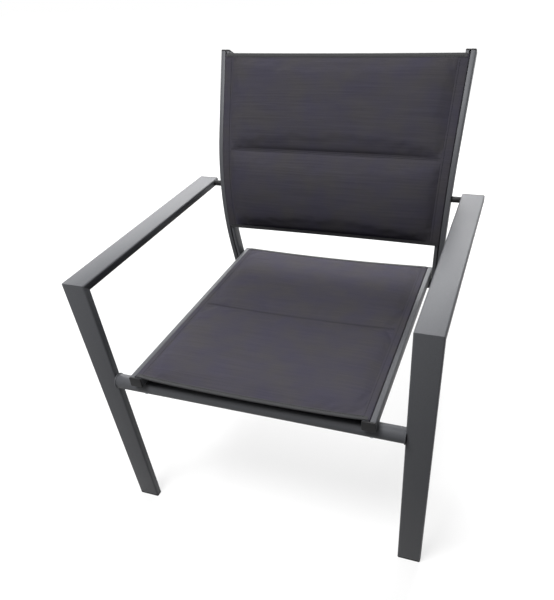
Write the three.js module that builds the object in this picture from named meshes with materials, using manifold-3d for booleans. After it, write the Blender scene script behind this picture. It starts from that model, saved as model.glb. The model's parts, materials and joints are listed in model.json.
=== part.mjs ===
// A sling patio chair: welded tube frames, two grooved seat rails, two bent and grooved back posts, and
// two padded slings whose hems are held in the grooves by rods. Millimetres, +Z up, the front of the chair
// towards -Y, and +X towards the left hand of whoever sits in it.
import * as THREE from "three";
import { mergeVertices } from "three/addons/utils/BufferGeometryUtils.js";
import Module from "manifold-3d";

const wasm = await Module();
wasm.setup();

// The whole chair. Heights are above the floor, and depths run back from the front faces of the front legs.
const chairWidth = 640;
const armHeight = 542;
const seatHeight = 370;
const backHeight = 780;

// Flat profile of the front legs and the arms.
const flatWidth = 45;
const flatThickness = 15;
const flatCorner = 3;
const flatWall = 1.6;

// Grooved profiles of the seat rails and the back posts. The groove is measured from the outer side face.
const railWidth = 24;
const railDepth = 20;
const postWidth = 20;
const postDepth = 24;
const profileCorner = 2.5;
const profileWall = 1.6;
const grooveFromOutside = 11.5;
const grooveRadius = 3.6;
const grooveMouth = 3;
const grooveLip = 1.6;

// Where the seat rails lie: beside the posts, and past the front legs and the rear tube.
const railPostGap = 1.7;
const railPastLegs = 16;
const railPastRearTube = 15;

// How the back posts stand: beside the arms, splayed apart with height, leaning forward as rear legs, and
// bent back above the seat.
const armPostGap = 18.4;
const postSplay = THREE.MathUtils.degToRad(1.745);
const legLean = THREE.MathUtils.degToRad(7.65);
const backLean = THREE.MathUtils.degToRad(27);
const kneeHeight = 523;
const kneeDepth = 460;
const bendReach = 128;
const bendFacets = 12;

// Cross tubes.
const frontTubeRadius = 14;
const frontTubeWall = 1.8;
const rearTubeRadius = 11;
const rearTubeWall = 1.6;
const spreaderRadius = 7.5;
const spreaderWall = 1.5;
const spreaderFromBack = 1;
const lowerSpreaderShare = 0.6;
const upperSpreaderBelowTop = 63;
const saddleThickness = 1.5;
const saddleSkirt = 4;
const saddleLength = 20;
const saddleInset = 1;

// Slings. A pad stops short of the outer faces and of the ends of the rails or posts that carry it.
const clothThickness = 1;
const splineRadius = 2;
const padCrown = 12;
const padBelly = 5;
const padEdge = 4;
const hemInPad = 6;
const hemInset = 3;
const seatPadInset = 25.5;
const padFromRailFront = 7;
const padFromRailBack = 4;
const seatSeamShare = 0.5;
const backPadInset = 30;
const backAboveSeat = 71;
const padFromPostTop = 4;
const backSeamShare = 0.475;
const quiltFacets = 10;
const quiltAcrossShares = [-1, -0.985, -0.95, -0.86, 0, 0.86, 0.95, 0.985, 1];
const quiltFullnessShares = [0.1, 0.45, 0.75, 0.96, 1, 0.96, 0.75, 0.45, 0.1];
const quiltRoundness = 0.6;

// Plastic caps and feet.
const capThickness = 3;
const capEdge = 0.8;
const plugLength = 12;
const armPlugLength = 3.2;
const railPlugLength = 4.5;
const plugTaper = 0.3;
const footThickness = 5;
const footEdge = 1.2;
const footPlugLength = 22;
const leastCorner = 0.4;

// Fasteners.
const boltRadius = 3;
const boltHeadRadius = 5.5;
const boltHeadHeight = 3.2;
const boltHeadBrow = 1.1;
const boltCrownRadius = 3.4;
const socketRadius = 1.9;
const socketDepth = 1.8;
const nutThickness = 5;
const nutLength = 14;
const nutWidth = 12;
const armNutDepth = 9;
const armNutLength = 10;
const armSpacerRadius = 6;
const armBoltFromEnd = 15.3;

// Shared clearances. A fit gap is left wherever one piece sits in, on or round another without a weld.
const fitGap = 0.3;
const overrun = 2;
const tiny = 1e-5;
const arcDivisions = 2;
const tubeSides = 28;
const boltSides = 12;

const paint = () => new THREE.MeshStandardMaterial({ color: 0x4e4f52, roughness: 0.42, metalness: 0.35 });
const cloth = () => new THREE.MeshStandardMaterial({ color: 0x3d3c43, roughness: 0.95, metalness: 0 });
const plastic = () => new THREE.MeshStandardMaterial({ color: 0x18181a, roughness: 0.6, metalness: 0 });
const steel = () => new THREE.MeshStandardMaterial({ color: 0x8d9095, roughness: 0.35, metalness: 0.9 });

const chair = new THREE.Group();

function addPiece(group, name, geometry, material) {
  geometry.computeVertexNormals();
  const mesh = new THREE.Mesh(geometry, material);
  mesh.name = name;
  group.add(mesh);
}

// Outlines are drawn in u, across from the outer side face, and v, in from the front or top face.

function pointsOf(path) {
  const points = path.getPoints(arcDivisions);
  return points.filter((point, i) => point.distanceTo(points[(i + 1) % points.length]) > tiny);
}

// An arc in pieces of a quarter turn or less, so that short and long arcs have facets of like angle.
function addArc(path, u, v, radius, from, to) {
  const pieces = Math.ceil(Math.abs(to - from) / (Math.PI / 2));
  const step = (to - from) / pieces;
  for (let i = 0; i < pieces; i++) {
    path.absarc(u, v, radius, from + i * step, from + (i + 1) * step, to < from);
  }
}

function roundedRing(uLow, vLow, uHigh, vHigh, corner) {
  const path = new THREE.Path();
  addArc(path, uHigh - corner, vLow + corner, corner, -Math.PI / 2, 0);
  addArc(path, uHigh - corner, vHigh - corner, corner, 0, Math.PI / 2);
  addArc(path, uLow + corner, vHigh - corner, corner, Math.PI / 2, Math.PI);
  addArc(path, uLow + corner, vLow + corner, corner, Math.PI, Math.PI * 1.5);
  return pointsOf(path);
}

function insetRing(width, depth, corner, inset) {
  return roundedRing(inset, inset, width - inset, depth - inset, Math.max(corner - inset, leastCorner));
}

function circleRing(u, v, radius, sides) {
  return Array.from({ length: sides }, (_, i) => {
    const angle = (2 * Math.PI * i) / sides;
    return new THREE.Vector2(u + radius * Math.cos(angle), v + radius * Math.sin(angle));
  });
}

// Turns the triangles of a closed surface round if they face inwards.
function outward(geometry) {
  const points = geometry.getAttribute("position");
  const corners = geometry.index.array;
  const [a, b, c] = [new THREE.Vector3(), new THREE.Vector3(), new THREE.Vector3()];
  let volume = 0;
  for (let i = 0; i < corners.length; i += 3) {
    a.fromBufferAttribute(points, corners[i]);
    b.fromBufferAttribute(points, corners[i + 1]);
    c.fromBufferAttribute(points, corners[i + 2]);
    volume += a.dot(b.cross(c));
  }
  if (volume < 0) geometry.setIndex(Array.from(corners).reverse());
  return geometry;
}

// Skins matching sections set one after another and closes both ends. A station is a section, which is an
// outline with any holes in it, and the function that places one of its points in space.
function loft(stations) {
  const ringsOf = ({ outline, holes }) => [outline, ...holes];
  const sizes = ringsOf(stations[0].section).map((ring) => ring.length);
  const total = sizes.reduce((sum, size) => sum + size);
  const positions = stations.flatMap(({ section, place }) =>
    ringsOf(section).flat().flatMap((point) => place(point.x, point.y).toArray()),
  );
  const index = [];
  for (let station = 0; station + 1 < stations.length; station++) {
    let first = station * total;
    for (const size of sizes) {
      for (let i = 0; i < size; i++) {
        const here = first + i;
        const next = first + ((i + 1) % size);
        index.push(here, next, here + total, next, next + total, here + total);
      }
      first += size;
    }
  }
  const endFaces = ({ section }) => THREE.ShapeUtils.triangulateShape([...section.outline], section.holes);
  const last = (stations.length - 1) * total;
  for (const [a, b, c] of endFaces(stations[0])) index.push(a, c, b);
  for (const [a, b, c] of endFaces(stations.at(-1))) index.push(last + a, last + b, last + c);
  const geometry = new THREE.BufferGeometry();
  geometry.setAttribute("position", new THREE.Float32BufferAttribute(positions, 3));
  geometry.setIndex(index);
  return outward(geometry);
}

// A section has its outline one way round and its holes the other.
function section(outline, holes = []) {
  const { isClockWise } = THREE.ShapeUtils;
  const turned = (ring, clockwise) => (isClockWise(ring) === clockwise ? ring : [...ring].reverse());
  return { outline: turned(outline, false), holes: holes.map((hole) => turned(hole, true)) };
}

const sweep = (profile, places) => loft(places.map((place) => ({ section: profile, place })));

// A plug-like solid of level rings: each level is a ring and its distance in from the outer end.
const stepped = (levels, placeAt) =>
  loft(levels.map(([ring, at]) => ({ section: section(ring), place: placeAt(at) })));

function manifoldOf(geometry) {
  const bare = new THREE.BufferGeometry().setAttribute("position", geometry.getAttribute("position"));
  const merged = mergeVertices(bare.setIndex(geometry.index), tiny);
  const triVerts = new Uint32Array(merged.index.array);
  const vertProperties = merged.getAttribute("position").array;
  return new wasm.Manifold(new wasm.Mesh({ numProp: 3, vertProperties, triVerts }));
}

function geometryOf(manifold) {
  const { vertProperties, triVerts } = manifold.getMesh();
  const geometry = new THREE.BufferGeometry();
  geometry.setAttribute("position", new THREE.BufferAttribute(vertProperties, 3));
  return geometry.setIndex(new THREE.BufferAttribute(triVerts, 1));
}

function drilled(geometry, ...bits) {
  return geometryOf(bits.reduce((body, bit) => body.subtract(manifoldOf(bit)), manifoldOf(geometry)));
}

// Facets that cross at a shallow angle can leave an empty sliver beside the joined body, so the largest is
// kept.
function joined(geometry, ...others) {
  const whole = others.reduce((body, other) => body.add(manifoldOf(other)), manifoldOf(geometry));
  const [body] = whole.decompose().sort((a, b) => b.volume() - a.volume());
  return geometryOf(body);
}

function mirrored(geometry) {
  return outward(geometry.clone().scale(-1, 1, 1));
}

// Points a solid made along +Y from its own origin from one place along a direction.
function aimed(geometry, from, direction) {
  const turn = new THREE.Quaternion().setFromUnitVectors(new THREE.Vector3(0, 1, 0), direction);
  return geometry.applyQuaternion(turn).translate(from.x, from.y, from.z);
}

function rod(from, to, radius) {
  const length = from.distanceTo(to);
  const cylinder = new THREE.CylinderGeometry(radius, radius, length, boltSides).translate(0, length / 2, 0);
  return aimed(cylinder, from, to.clone().sub(from).normalize());
}

const hole = (from, to) => rod(from, to, boltRadius + fitGap);

// A round tube across the chair. Its ends are cut to the faces that it is welded to, at endAt(height).
function crossTube(y, z, radius, wall, endAt) {
  const ring = section(circleRing(y, z, radius, tubeSides), [circleRing(y, z, radius - wall, tubeSides)]);
  return sweep(ring, [-1, 1].map((side) => (u, v) => new THREE.Vector3(side * endAt(v), u, v)));
}

// A button-head bolt with a socket, its seat at a place and its shank along a direction.
function bolt(seat, direction, length) {
  const profile = [
    [0, socketDepth - boltHeadHeight],
    [socketRadius, socketDepth - boltHeadHeight],
    [socketRadius, -boltHeadHeight],
    [boltCrownRadius, -boltHeadHeight],
    [boltHeadRadius, -boltHeadBrow],
    [boltHeadRadius, 0],
    [boltRadius, 0],
    [boltRadius, length],
    [0, length],
  ];
  const lathe = new THREE.LatheGeometry(profile.map(([r, y]) => new THREE.Vector2(r, y)), boltSides);
  return aimed(outward(lathe), seat, direction);
}

// The front frame: on each side a flat leg and a flat arm, mitred and welded where they meet.
const legOuter = chairWidth / 2;
const legInner = legOuter - flatWidth;
const armMiddle = armHeight - flatThickness / 2;
const flatHole = insetRing(flatWidth, flatThickness, flatCorner, flatWall);
const flatProfile = section(insetRing(flatWidth, flatThickness, flatCorner, 0), [flatHole]);
const mitre = (u, v) => new THREE.Vector3(legOuter - u, v, armHeight - v);
const legLevel = (z) => (u, v) => new THREE.Vector3(legOuter - u, v, z);
const armStation = (y) => (u, v) => new THREE.Vector3(legOuter - u, y, armHeight - v);

// Rings of a plug that closes a tube: a plate with an eased edge, then a tapered stem that fits the hollow.
function plugLevels(outerRing, stemRing, plate, edge, stem) {
  return [
    [outerRing(edge), 0],
    [outerRing(0), edge],
    [outerRing(0), plate],
    [stemRing(0), plate],
    [stemRing(plugTaper), plate + stem],
  ];
}

const flatRing = (inset) => insetRing(flatWidth, flatThickness, flatCorner, inset);
const flatStem = (inset) => flatRing(flatWall + fitGap + inset);

// The depth of the bore's middle, and the outside of its wall.
const boreDepth = grooveLip + Math.sqrt(grooveRadius ** 2 - (grooveMouth / 2) ** 2);
const boreWallRadius = grooveRadius + profileWall;

// The sling rail's profile: a rounded box, open at the front through a narrow mouth into a round bore. The
// hollow behind wraps round the wall of the bore.
function groovedProfile(width, depth) {
  const mouthAngle = Math.PI / 2 + Math.asin(grooveMouth / 2 / grooveRadius);
  const low = profileCorner;
  const outer = new THREE.Path();
  outer.moveTo(low, 0);
  outer.lineTo(grooveFromOutside - grooveMouth / 2, 0);
  addArc(outer, grooveFromOutside, boreDepth, grooveRadius, -mouthAngle, mouthAngle - Math.PI * 3);
  outer.lineTo(grooveFromOutside + grooveMouth / 2, 0);
  addArc(outer, width - low, low, profileCorner, -Math.PI / 2, 0);
  addArc(outer, width - low, depth - low, profileCorner, 0, Math.PI / 2);
  addArc(outer, low, depth - low, profileCorner, Math.PI / 2, Math.PI);
  addArc(outer, low, low, profileCorner, Math.PI, Math.PI * 1.5);

  const hollowAngle = Math.PI / 2 + Math.acos((boreDepth - profileWall) / boreWallRadius);
  const hollow = new THREE.Path();
  hollow.moveTo(profileWall, depth - profileWall);
  hollow.lineTo(profileWall, profileWall);
  addArc(hollow, grooveFromOutside, boreDepth, boreWallRadius, -hollowAngle, hollowAngle - Math.PI * 3);
  hollow.lineTo(width - profileWall, profileWall);
  hollow.lineTo(width - profileWall, depth - profileWall);
  return section(pointsOf(outer), [pointsOf(hollow)]);
}

// The stem of a cap fills only the part of the hollow that lies behind the bore.
function profileStem(width, depth) {
  const gap = profileWall + fitGap;
  const front = boreDepth + boreWallRadius + fitGap;
  return (inset) =>
    roundedRing(gap + inset, front + inset, width - gap - inset, depth - gap - inset, leastCorner);
}

function profileCapLevels(width, depth, plate, edge, stem) {
  const outerRing = (inset) => insetRing(width, depth, profileCorner, inset);
  return plugLevels(outerRing, profileStem(width, depth), plate, edge, stem);
}

// The front face of a back post as a run from the floor: straight, through one arc, and straight again.
const bendRadius = bendReach / Math.tan((legLean + backLean) / 2);
const lowerRun = kneeHeight / Math.cos(legLean) - bendReach;
const bendRun = bendRadius * (legLean + backLean);
const upperRun = (backHeight - kneeHeight) / Math.cos(backLean) - bendReach;
const postRun = lowerRun + bendRun + upperRun;

function postLine(run) {
  const lean = THREE.MathUtils.clamp((run - lowerRun) / bendRadius, 0, legLean + backLean) - legLean;
  const low = Math.min(run, lowerRun);
  const high = Math.max(run - lowerRun - bendRun, 0);
  const bendBack = bendRadius * (Math.cos(legLean) - Math.cos(lean));
  const bendUp = bendRadius * (Math.sin(legLean) + Math.sin(lean));
  const y = kneeDepth + kneeHeight * Math.tan(legLean) - low * Math.sin(legLean) + bendBack;
  const z = low * Math.cos(legLean) + bendUp + high * Math.cos(backLean);
  return { lean, y: y + high * Math.sin(backLean), z };
}

const postOuter = (z) => legInner - armPostGap + (z - armMiddle) * Math.tan(postSplay);
const postInner = (z) => postOuter(z) - postWidth;

function squareCut(run) {
  const { lean, y, z } = postLine(run);
  return (u, v) => {
    const height = z - v * Math.sin(lean);
    return new THREE.Vector3(postOuter(height) - u, y + v * Math.cos(lean), height);
  };
}

// A station inside the bend lies on the flat facet between its two neighbours, as the skin of the post does.
function postStation(run) {
  const facet = bendRun / bendFacets;
  const along = (run - lowerRun) / facet;
  if (along <= 0 || along >= bendFacets) return squareCut(run);
  const [low, high] = [Math.floor(along), Math.ceil(along)].map((i) => squareCut(lowerRun + i * facet));
  return (u, v) => low(u, v).lerp(high(u, v), along - Math.floor(along));
}

// A level cut through a rear leg.
const postLevel = (z) => (u, v) =>
  new THREE.Vector3(postOuter(z) - u, postLine(z / Math.cos(legLean)).y + v / Math.cos(legLean), z);

// The stations of a stretch of post: its two ends and every facet of the bend between them.
function runBetween(from, to) {
  const bend = Array.from({ length: bendFacets + 1 }, (_, i) => lowerRun + (bendRun * i) / bendFacets);
  return [from, ...bend.filter((run) => run > from + overrun && run < to - overrun), to];
}

// The run at which the front face of a post reaches a height.
function runAtHeight(height) {
  let [low, high] = [0, postRun];
  while (high - low > tiny) {
    const middle = (low + high) / 2;
    if (postLine(middle).z < height) low = middle;
    else high = middle;
  }
  return (low + high) / 2;
}

// The seat rails lie on the front and rear tubes, which carry them through plastic saddles.
const railBottom = seatHeight - railDepth;
const railOuter = postInner(railBottom) - railPostGap;
const tubeCrown = railBottom - saddleThickness;
const railStation = (y) => (u, v) => new THREE.Vector3(railOuter - u, y, seatHeight - v);

// The tubes across the chair.
const frontTubeY = flatThickness / 2;
const frontTubeZ = tubeCrown - frontTubeRadius;
const rearTubeZ = tubeCrown - rearTubeRadius;
const rearTubeY = postLevel(rearTubeZ)(0, postDepth / 2).y;
const frontTube = crossTube(frontTubeY, frontTubeZ, frontTubeRadius, frontTubeWall, () => legInner);
const rearTube = crossTube(rearTubeY, rearTubeZ, rearTubeRadius, rearTubeWall, postInner);
const seatRailFront = -railPastLegs;
const seatRailBack = rearTubeY + railPastRearTube;

function spreader(height) {
  const axis = postStation(runAtHeight(height))(0, postDepth - spreaderRadius - spreaderFromBack);
  return crossTube(axis.y, axis.z, spreaderRadius, spreaderWall, postInner);
}

// The bolts that come up through a tube, its saddle and the rail's floor into a nut plate inside the rail.
const railBoltX = railOuter - grooveFromOutside;
const railNutFloor = railBottom + profileWall + fitGap;
const seatJoints = [
  { end: "front", y: frontTubeY, z: frontTubeZ, radius: frontTubeRadius },
  { end: "rear", y: rearTubeY, z: rearTubeZ, radius: rearTubeRadius },
];
for (const joint of seatJoints) {
  joint.seat = new THREE.Vector3(railBoltX, joint.y, joint.z - joint.radius - fitGap);
  joint.top = new THREE.Vector3(railBoltX, joint.y, railNutFloor + nutThickness);
  joint.holeFrom = joint.seat.clone().setZ(joint.seat.z - overrun);
}

function holesInTube({ holeFrom, top }) {
  const onSide = (point, side) => point.clone().setX(side * point.x);
  return [-1, 1].map((side) => hole(onSide(holeFrom, side), onSide(top, side)));
}

function saddle({ y, z, radius, holeFrom, top }) {
  const width = railWidth - saddleInset * 2;
  const half = saddleLength / 2;
  const reach = radius + fitGap;
  const spread = Math.asin(Math.min(half / reach, 1));
  const floor = Math.max(z + reach * Math.cos(spread), tubeCrown - saddleSkirt);
  const arch = Math.acos((floor - z) / reach);
  const path = new THREE.Path();
  path.moveTo(y - half, railBottom);
  path.lineTo(y - half, floor);
  addArc(path, y, z, reach, Math.PI / 2 + arch, Math.PI / 2 - arch);
  path.lineTo(y + half, floor);
  path.lineTo(y + half, railBottom);
  const first = railOuter - saddleInset;
  const places = [first, first - width].map((x) => (u, v) => new THREE.Vector3(x, u, v));
  return drilled(sweep(section(pointsOf(path)), places), hole(holeFrom, top));
}

function railNut({ y, top, seat }) {
  const block = new THREE.BoxGeometry(nutWidth, nutLength, nutThickness);
  block.translate(railBoltX, y, railNutFloor + nutThickness / 2);
  return drilled(block, hole(seat, top.clone().setZ(top.z + overrun)));
}

// The bolt that ties a post to its arm: through the middle of the post and a spacer into a nut block inside
// the arm, which ends a little way behind the bolt.
const armBoltY = postStation(runAtHeight(armMiddle))(0, postDepth / 2).y;
const armLength = armBoltY + armBoltFromEnd;
const postAtArm = postInner(armMiddle);
const armBoltSeat = new THREE.Vector3(postAtArm - fitGap, armBoltY, armMiddle);
const armNutFront = legInner + flatWall + fitGap;
const armBoltEnd = new THREE.Vector3(armNutFront + armNutDepth, armBoltY, armMiddle);
const armHole = hole(armBoltSeat.clone().setX(armBoltSeat.x - overrun), armBoltEnd);

function armSpacer() {
  const from = new THREE.Vector3(postOuter(armMiddle) + fitGap, armBoltY, armMiddle);
  const to = new THREE.Vector3(legInner, armBoltY, armMiddle);
  return drilled(rod(from, to, armSpacerRadius), armHole);
}

function armNut() {
  const height = flatThickness - flatCorner * 2;
  const block = new THREE.BoxGeometry(armNutDepth, armNutLength, height);
  block.translate(armNutFront + armNutDepth / 2, armBoltY, armMiddle);
  return drilled(block, hole(armBoltSeat, armBoltEnd.clone().setX(armBoltEnd.x + overrun)));
}

// A hem goes over the inner half of the rail, through the mouth of the groove and round the rod in its bore.
function hemProfile(padInset) {
  const loopRadius = grooveRadius - fitGap;
  const neck = clothThickness;
  const turn = Math.PI / 2 + Math.asin(neck / loopRadius);
  const path = new THREE.Path();
  path.moveTo(padInset + hemInPad, -fitGap - clothThickness * 2);
  path.lineTo(grooveFromOutside - neck, -fitGap - clothThickness * 2);
  addArc(path, grooveFromOutside, boreDepth, loopRadius, -turn, turn - Math.PI * 3);
  path.lineTo(grooveFromOutside + neck, -fitGap);
  path.lineTo(padInset + hemInPad, -fitGap);
  const rodHole = circleRing(grooveFromOutside, boreDepth, splineRadius + fitGap, boltSides);
  return section(pointsOf(path), [rodHole]);
}

const splineProfile = section(circleRing(grooveFromOutside, boreDepth, splineRadius, boltSides));
const hemLift = fitGap + clothThickness;

// The side outline of a quilted pad: crowned above and below in each channel, and pinched at the seam and
// the ends.
function quiltOutline(start, end, seamShare, fullness) {
  const seam = THREE.MathUtils.lerp(start, end, seamShare);
  const [upper, lower] = [[], []];
  for (const [from, to] of [[start, seam], [seam, end]]) {
    for (let i = from === start ? 0 : 1; i <= quiltFacets; i++) {
      const share = (1 - Math.cos((Math.PI * i) / quiltFacets)) / 2;
      const run = THREE.MathUtils.lerp(from, to, share);
      const rise = fullness * Math.sin(Math.PI * share) ** quiltRoundness;
      upper.push(new THREE.Vector2(run, padEdge / 2 + padCrown * rise));
      lower.unshift(new THREE.Vector2(run, -padEdge / 2 - padBelly * rise));
    }
  }
  return [...upper, ...lower];
}

// A quilted pad from side to side. place(run, height, share) puts a point of its outline at a share of half
// its width.
function quiltedPad(start, end, seamShare, place) {
  return loft(
    quiltAcrossShares.map((share, i) => ({
      section: section(quiltOutline(start, end, seamShare, quiltFullnessShares[i])),
      place: (run, height) => place(run, height, share),
    })),
  );
}

const seatPadEnds = [seatRailFront + padFromRailFront, seatRailBack - padFromRailBack];
const seatPad = quiltedPad(...seatPadEnds, seatSeamShare, (run, height, share) =>
  new THREE.Vector3(share * (railOuter - seatPadInset), run, seatHeight + hemLift + height),
);
const seatHemPlaces = [seatPadEnds[0] + hemInset, seatPadEnds[1] - hemInset].map(railStation);
const seatHem = sweep(hemProfile(seatPadInset), seatHemPlaces);

const backPadRuns = [seatHeight + backAboveSeat, backHeight - padFromPostTop].map(runAtHeight);
const backPad = quiltedPad(...backPadRuns, backSeamShare, (run, height, share) => {
  const point = postStation(run)(backPadInset, -hemLift - height);
  return point.setX(share * point.x);
});
const backHemPlaces = runBetween(backPadRuns[0] + hemInset, backPadRuns[1] - hemInset).map(postStation);
const backHem = sweep(hemProfile(backPadInset), backHemPlaces);

// Each side of the frame is made on the left, at +X, and mirrored for the right.
for (const [side, sign] of [["left", 1], ["right", -1]]) {
  const half = new THREE.Group();
  half.scale.x = sign;
  chair.add(half);

  addPiece(half, `${side}_front_leg`, sweep(flatProfile, [legLevel(footThickness), mitre]), paint());
  const arm = sweep(flatProfile, [mitre, armStation(armLength - capThickness)]);
  addPiece(half, `${side}_arm`, drilled(arm, armHole), paint());
  const footLevels = plugLevels(flatRing, flatStem, footThickness, footEdge, footPlugLength);
  addPiece(half, `${side}_front_foot`, stepped(footLevels, legLevel), plastic());
  const armCapLevels = plugLevels(flatRing, flatStem, capThickness, capEdge, armPlugLength);
  const armCap = stepped(armCapLevels, (at) => armStation(armLength - at));
  addPiece(half, `${side}_arm_end_cap`, armCap, plastic());

  const rail = sweep(
    groovedProfile(railWidth, railDepth),
    [seatRailFront + capThickness, seatRailBack - capThickness].map(railStation),
  );
  const railHoles = seatJoints.map(({ holeFrom, top }) => hole(holeFrom, top));
  addPiece(half, `${side}_seat_rail`, drilled(rail, ...railHoles), paint());
  const railCapLevels = profileCapLevels(railWidth, railDepth, capThickness, capEdge, railPlugLength);
  const railFrontCap = stepped(railCapLevels, (at) => railStation(seatRailFront + at));
  addPiece(half, `${side}_rail_front_cap`, railFrontCap, plastic());
  const railRearCap = stepped(railCapLevels, (at) => railStation(seatRailBack - at));
  addPiece(half, `${side}_rail_rear_cap`, railRearCap, plastic());

  const postPlaces = [postLevel(footThickness), ...runBetween(0, postRun).slice(1).map(postStation)];
  const post = sweep(groovedProfile(postWidth, postDepth), postPlaces);
  addPiece(half, `${side}_back_post`, drilled(post, armHole), paint());
  const rearFootLevels = profileCapLevels(postWidth, postDepth, footThickness, footEdge, footPlugLength);
  addPiece(half, `${side}_rear_foot`, stepped(rearFootLevels, postLevel), plastic());
  const postCapLevels = profileCapLevels(postWidth, postDepth, capThickness, capEdge, plugLength);
  const postCap = stepped(postCapLevels, (at) => postStation(postRun + capThickness - at));
  addPiece(half, `${side}_post_cap`, postCap, plastic());

  addPiece(half, `${side}_seat_spline`, sweep(splineProfile, seatHemPlaces), plastic());
  addPiece(half, `${side}_back_spline`, sweep(splineProfile, backHemPlaces), plastic());

  for (const joint of seatJoints) {
    addPiece(half, `${side}_${joint.end}_saddle`, saddle(joint), plastic());
    addPiece(half, `${side}_${joint.end}_rail_nut`, railNut(joint), steel());
    const railBolt = bolt(joint.seat, new THREE.Vector3(0, 0, 1), joint.top.z - joint.seat.z);
    addPiece(half, `${side}_${joint.end}_rail_bolt`, railBolt, steel());
  }
  addPiece(half, `${side}_arm_spacer`, armSpacer(), plastic());
  addPiece(half, `${side}_arm_nut`, armNut(), steel());
  const armBolt = bolt(armBoltSeat, new THREE.Vector3(1, 0, 0), armBoltEnd.x - armBoltSeat.x);
  addPiece(half, `${side}_arm_bolt`, armBolt, steel());
}

addPiece(chair, "front_crossbar", drilled(frontTube, ...holesInTube(seatJoints[0])), paint());
addPiece(chair, "rear_crossbar", drilled(rearTube, ...holesInTube(seatJoints[1])), paint());
const lowerSpreaderHeight = THREE.MathUtils.lerp(seatHeight, armMiddle, lowerSpreaderShare);
addPiece(chair, "lower_back_spreader", spreader(lowerSpreaderHeight), paint());
addPiece(chair, "upper_back_spreader", spreader(backHeight - upperSpreaderBelowTop), paint());
addPiece(chair, "seat_sling", joined(seatPad, seatHem, mirrored(seatHem)), cloth());
addPiece(chair, "back_sling", joined(backPad, backHem, mirrored(backHem)), cloth());

// The origin is on the floor, under the middle of the chair.
chair.position.y = -new THREE.Box3().setFromObject(chair).getCenter(new THREE.Vector3()).y;

export default chair;
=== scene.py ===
import json
import math
from typing import Callable, NamedTuple

import bmesh
import bpy
import numpy as np
from mathutils import Matrix, Vector
from mathutils.bvhtree import BVHTree

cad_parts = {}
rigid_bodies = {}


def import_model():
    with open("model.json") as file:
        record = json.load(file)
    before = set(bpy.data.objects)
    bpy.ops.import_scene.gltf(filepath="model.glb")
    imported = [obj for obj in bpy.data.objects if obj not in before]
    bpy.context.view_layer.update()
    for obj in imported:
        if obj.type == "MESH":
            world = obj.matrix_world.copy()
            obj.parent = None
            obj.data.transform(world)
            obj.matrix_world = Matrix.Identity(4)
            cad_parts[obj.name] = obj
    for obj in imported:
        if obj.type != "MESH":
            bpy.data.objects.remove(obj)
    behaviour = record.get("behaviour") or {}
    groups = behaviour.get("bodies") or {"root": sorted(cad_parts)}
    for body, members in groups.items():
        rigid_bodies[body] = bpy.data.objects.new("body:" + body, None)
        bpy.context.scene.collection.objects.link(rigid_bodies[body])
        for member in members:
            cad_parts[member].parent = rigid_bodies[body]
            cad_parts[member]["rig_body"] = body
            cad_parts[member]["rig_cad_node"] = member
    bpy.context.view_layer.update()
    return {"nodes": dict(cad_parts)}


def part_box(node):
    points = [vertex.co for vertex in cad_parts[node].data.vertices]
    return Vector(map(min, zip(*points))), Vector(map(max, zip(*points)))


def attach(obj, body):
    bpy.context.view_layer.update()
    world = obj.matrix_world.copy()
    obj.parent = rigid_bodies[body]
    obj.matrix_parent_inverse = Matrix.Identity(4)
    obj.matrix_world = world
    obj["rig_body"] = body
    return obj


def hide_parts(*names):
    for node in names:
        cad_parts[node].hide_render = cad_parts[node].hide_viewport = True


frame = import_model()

# Camera. It stands to the right of the front and looks down on the chair, rolled a little to the left, as in
# the photograph. The photograph is cut from a wider view, and the shift stands for that.
camera_place = (0.3763, -0.9496, 0.9930)
camera_azimuth = math.radians(21.82)
camera_elevation = math.radians(40.08)
camera_roll = math.radians(-4.41)
photo_width = 554
photo_height = 600
focal_length_in_pixels = 565.6
optical_axis_in_pixels = (310, 390)

lens = bpy.data.cameras.new("camera")
lens.sensor_fit = "HORIZONTAL"
lens.lens = focal_length_in_pixels * lens.sensor_width / photo_width
lens.shift_x = (photo_width / 2 - optical_axis_in_pixels[0]) / photo_width
lens.shift_y = (optical_axis_in_pixels[1] - photo_height / 2) / photo_width
camera = bpy.data.objects.new("camera", lens)
bpy.context.collection.objects.link(camera)
camera.matrix_world = (
    Matrix.Translation(camera_place)
    @ Matrix.Rotation(camera_azimuth, 4, "Z")
    @ Matrix.Rotation(math.pi / 2 - camera_elevation, 4, "X")
    @ Matrix.Rotation(camera_roll, 4, "Z")
)
bpy.context.scene.camera = camera
bpy.context.scene.view_settings.view_transform = "Standard"


# Studio. The floor and the surround are white to the eye and in reflections, and send little light back. A
# softbox hangs high in front. Three panels stand behind, there for the level faces of the frame to mirror.
def linear(colour):
    """An sRGB hex colour as the linear values that shaders take."""
    shares = [int(colour[start : start + 2], 16) / 255 for start in (1, 3, 5)]
    return (*(s / 12.92 if s <= 0.04045 else ((s + 0.055) / 1.055) ** 2.4 for s in shares), 1.0)


def add_node(tree, kind, inputs, **settings):
    """Adds a node with its settings. An input given a socket is linked, and any other is set."""
    node = tree.nodes.new("ShaderNode" + kind)
    for name, value in settings.items():
        setattr(node, name, value)
    for name, value in inputs.items():
        if isinstance(value, bpy.types.NodeSocket):
            tree.links.new(value, node.inputs[name])
        else:
            node.inputs[name].default_value = value
    return node


def new_material(name):
    """A material with an empty node tree, and that tree."""
    material = bpy.data.materials.new(name)
    material.use_nodes = True
    material.node_tree.nodes.clear()
    return material, material.node_tree


def seen_directly(tree):
    """1 for a camera, glossy or transmission ray, and 0 for light on its way to a matt surface."""
    path = add_node(tree, "LightPath", {}).outputs
    eye = add_node(tree, "Math", {0: path["Is Camera Ray"], 1: path["Is Glossy Ray"]}, operation="MAXIMUM")
    clear = {0: eye.outputs[0], 1: path["Is Transmission Ray"]}
    return add_node(tree, "Math", clear, operation="MAXIMUM").outputs[0]


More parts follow.
